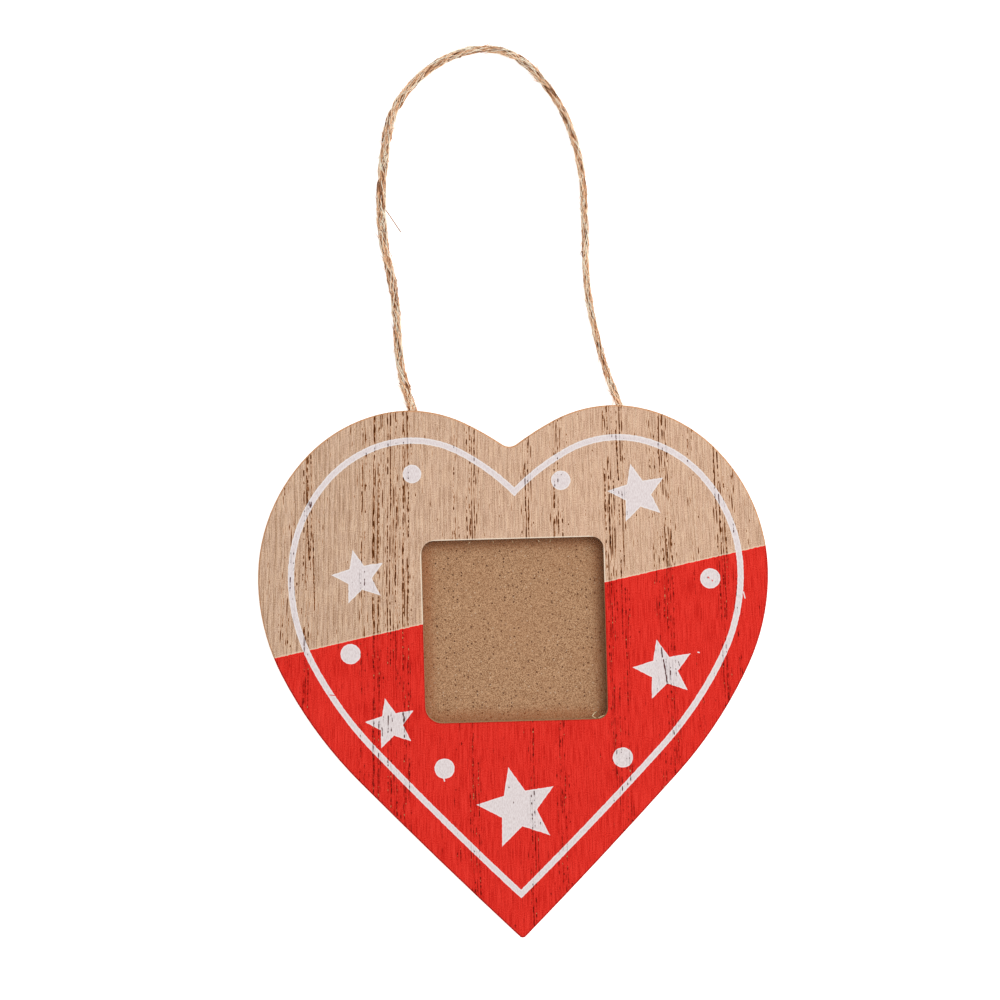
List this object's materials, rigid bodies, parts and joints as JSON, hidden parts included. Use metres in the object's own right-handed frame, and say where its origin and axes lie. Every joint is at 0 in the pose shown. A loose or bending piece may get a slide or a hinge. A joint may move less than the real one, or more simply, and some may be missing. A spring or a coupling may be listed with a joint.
{
  "type": "photo frame",
  "caption": "Heart shaped wooden photo frame with a square window, clear pane, backing board, turn buttons and a twine hanging loop",
  "frame": {"origin": "on the surface that the frame lies on, below the middle of the heart board", "axes": "+X across the heart to the right, +Y from its tip to the hanging loop, +Z out of its face"},
  "size_m": [0.13, 0.2294, 0.011],
  "materials": {
    "board_wood": "sanded open-pored wood, bare, its face painted red below a slanting line and printed with white",
    "pane_clear": "thin clear plastic sheet",
    "backing_fibreboard": "bare fine fibreboard, matt",
    "button_steel": "pressed steel, zinc plated, satin",
    "screw_steel": "zinc plated screw, bright",
    "staple_steel": "galvanised flat wire",
    "jute_twine": "two-ply jute, dry and hairy"
  },
  "bodies": {
    "board": {"front_board": "board_wood", "clear_pane": "pane_clear", "backing_board": "backing_fibreboard", "button_screws": "screw_steel", "twine_staples": "staple_steel", "twine": "jute_twine"},
    "top_button": {"turn_button_top": "button_steel"},
    "bottom_button": {"turn_button_bottom": "button_steel"}
  },
  "joints": [
    {"name": "top_button_turn", "type": "hinge", "parent": "board", "child": "top_button", "pos_m": [0, 0.04535, 0.0025], "axis": [0, 0, 1], "continuous": true},
    {"name": "bottom_button_turn", "type": "hinge", "parent": "board", "child": "bottom_button", "pos_m": [0, -0.02355, 0.0025], "axis": [0, 0, 1], "continuous": true}
  ]
}
